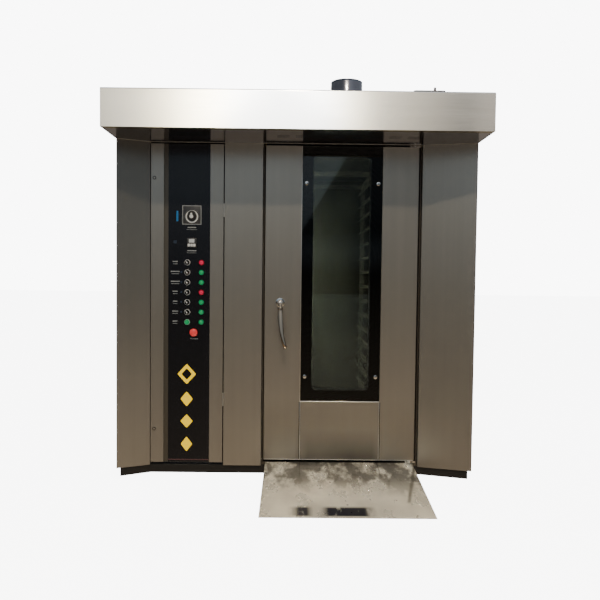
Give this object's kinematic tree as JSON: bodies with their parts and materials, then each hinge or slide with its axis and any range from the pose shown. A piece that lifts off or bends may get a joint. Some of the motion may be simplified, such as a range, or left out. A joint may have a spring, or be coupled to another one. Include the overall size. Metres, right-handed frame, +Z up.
{
  "type": "rotary rack oven",
  "caption": "Rotary rack oven with a glazed door, tray rack on a turntable, steam hood, control door with selectors and lamps, and an entry ramp.",
  "frame": {"origin": "on the floor under the middle of the whole plan, ramp included", "axes": "+Z up; the doors and the hood face -Y, and the ramp reaches out along -Y; +X is to the right as seen from the front"},
  "size_m": [1.8, 2.05, 1.95],
  "materials": {
    "satin_steel": "satin, brushed along its length",
    "black_steel": "matt black",
    "door_filling": "matt dark filling",
    "mineral_wool": "rough",
    "sooty_steel": "matt, heat-stained",
    "heater_steel": "oxidised",
    "motor_paint": "satin paint",
    "chrome": "polished",
    "gasket_rubber": "matt",
    "door_glass": "smooth tinted glass",
    "panel_black": "gloss black",
    "black_plastic": "satin",
    "lamp_green": "gloss",
    "estop_red": "gloss",
    "caster_rubber": "matt"
  },
  "bodies": {
    "cabinet": {"base_frame": "black_steel", "chamber_floor": "satin_steel", "left_side_panel": "satin_steel", "right_side_panel": "satin_steel", "back_panel": "satin_steel", "roof_panel": "satin_steel", "left_front_column": "satin_steel", "right_front_column": "satin_steel", "front_centre_panel": "satin_steel", "front_header": "satin_steel", "door_frame": "satin_steel", "hood_shell": "satin_steel", "hood_soffit": "satin_steel", "exhaust_spigot": "sooty_steel", "hood_fan_motor": "satin_steel", "entry_ramp": "satin_steel", "chamber_liner": "satin_steel", "chamber_ceiling": "satin_steel", "air_supply_panel": "satin_steel", "air_return_panel": "satin_steel", "heater_bank": "heater_steel", "circulation_fan_motor": "motor_paint", "insulation": "mineral_wool", "service_bay": "satin_steel", "electrical_plate": "satin_steel", "rack_drive": "motor_paint", "door_hardware": "chrome"},
    "oven_door": {"door_skin": "satin_steel", "door_core": "door_filling", "door_inner_pan": "satin_steel", "door_glass_outer": "door_glass", "door_glass_inner": "door_glass", "door_fittings": "chrome", "door_gasket": "gasket_rubber"},
    "door_handle": {"door_handle": "chrome"},
    "control_door": {"control_door_shell": "satin_steel", "control_panel": "panel_black", "time_relay": "black_plastic", "device_bezels": "black_plastic", "lamp_lenses": "lamp_green"},
    "dial_knob": {"dial_knob": "chrome"},
    "start_button": {"start_button": "lamp_green"},
    "estop_button": {"estop_button": "estop_red"},
    "turntable": {"turntable": "satin_steel", "rack_sides": "satin_steel", "rack_cross_tubes": "satin_steel"},
    "circulation_fan": {"circulation_fan_wheel": "satin_steel"},
    "hood_fan": {"hood_fan_wheel": "satin_steel"},
    "selector_1": {"selector_1": "black_plastic"},
    "selector_2": {"selector_2": "black_plastic"},
    "selector_3": {"selector_3": "black_plastic"},
    "selector_4": {"selector_4": "black_plastic"},
    "selector_5": {"selector_5": "black_plastic"},
    "selector_6": {"selector_6": "black_plastic"},
    "caster_fork_left": {"caster_fork_left": "chrome"},
    "caster_fork_right": {"caster_fork_right": "chrome"},
    "caster_wheel_front_left": {"caster_wheel_front_left": "caster_rubber"},
    "caster_wheel_front_right": {"caster_wheel_front_right": "caster_rubber"},
    "caster_wheel_back_left": {"caster_wheel_back_left": "caster_rubber"},
    "caster_wheel_back_right": {"caster_wheel_back_right": "caster_rubber"}
  },
  "joints": [
    {"name": "oven_door_swing", "type": "hinge", "parent": "cabinet", "child": "oven_door", "pos_m": [0.598, -0.405, 0.9], "axis": [0, 0, 1], "range_deg": [0, 120]},
    {"name": "door_handle_turn", "type": "hinge", "parent": "oven_door", "child": "door_handle", "pos_m": [-0.081, -0.425, 0.89], "axis": [0, -1, 0], "range_deg": [0, 75]},
    {"name": "control_door_swing", "type": "hinge", "parent": "cabinet", "child": "control_door", "pos_m": [-0.3715, -0.43, 0.9], "axis": [0, 0, 1], "range_deg": [0, 100]},
    {"name": "dial_turn", "type": "hinge", "parent": "control_door", "child": "dial_knob", "pos_m": [-0.535, -0.425, 1.331], "axis": [0, -1, 0], "range_deg": [-150, 150]},
    {"name": "start_button_press", "type": "slide", "parent": "control_door", "child": "start_button", "axis": [0, 1, 0], "range_m": [0, 0.003], "stiffness_N_per_m": 400, "springref_m": -0.001},
    {"name": "estop_press", "type": "slide", "parent": "control_door", "child": "estop_button", "axis": [0, 1, 0], "range_m": [0, 0.005]},
    {"name": "turntable_spin", "type": "hinge", "parent": "cabinet", "child": "turntable", "pos_m": [0.229, 0.375, 0.05], "axis": [0, 0, 1], "continuous": true},
    {"name": "circulation_fan_spin", "type": "hinge", "parent": "cabinet", "child": "circulation_fan", "pos_m": [-0.5075, 0.407, 1.6], "axis": [0, 0, 1], "continuous": true},
    {"name": "hood_fan_spin", "type": "hinge", "parent": "cabinet", "child": "hood_fan", "pos_m": [0.617, -0.615, 1.75], "axis": [0, 0, 1], "continuous": true},
    {"name": "selector_1_turn", "type": "hinge", "parent": "control_door", "child": "selector_1", "pos_m": [-0.557, -0.425, 1.0898], "axis": [0, -1, 0], "range_deg": [0, 90]},
    {"name": "selector_2_turn", "type": "hinge", "parent": "control_door", "child": "selector_2", "pos_m": [-0.557, -0.425, 1.039], "axis": [0, -1, 0], "range_deg": [0, 90]},
    {"name": "selector_3_turn", "type": "hinge", "parent": "control_door", "child": "selector_3", "pos_m": [-0.557, -0.425, 0.9882], "axis": [0, -1, 0], "range_deg": [0, 90]},
    {"name": "selector_4_turn", "type": "hinge", "parent": "control_door", "child": "selector_4", "pos_m": [-0.557, -0.425, 0.9374], "axis": [0, -1, 0], "range_deg": [0, 90]},
    {"name": "selector_5_turn", "type": "hinge", "parent": "control_door", "child": "selector_5", "pos_m": [-0.557, -0.425, 0.8866], "axis": [0, -1, 0], "range_deg": [0, 90]},
    {"name": "selector_6_turn", "type": "hinge", "parent": "control_door", "child": "selector_6", "pos_m": [-0.557, -0.425, 0.8358], "axis": [0, -1, 0], "range_deg": [0, 90]},
    {"name": "caster_left_swivel", "type": "hinge", "parent": "turntable", "child": "caster_fork_left", "pos_m": [0.03, 0.105, 0.17], "axis": [0, 0, 1], "continuous": true},
    {"name": "caster_right_swivel", "type": "hinge", "parent": "turntable", "child": "caster_fork_right", "pos_m": [0.428, 0.105, 0.17], "axis": [0, 0, 1], "continuous": true},
    {"name": "caster_front_left_roll", "type": "hinge", "parent": "caster_fork_left", "child": "caster_wheel_front_left", "pos_m": [0.03, 0.077, 0.1123], "axis": [1, 0, 0], "continuous": true},
    {"name": "caster_front_right_roll", "type": "hinge", "parent": "caster_fork_right", "child": "caster_wheel_front_right", "pos_m": [0.428, 0.077, 0.1123], "axis": [1, 0, 0], "continuous": true},
    {"name": "caster_back_left_roll", "type": "hinge", "parent": "turntable", "child": "caster_wheel_back_left", "pos_m": [0.03, 0.645, 0.1123], "axis": [1, 0, 0], "continuous": true},
    {"name": "caster_back_right_roll", "type": "hinge", "parent": "turntable", "child": "caster_wheel_back_right", "pos_m": [0.428, 0.645, 0.1123], "axis": [1, 0, 0], "continuous": true}
  ]
}
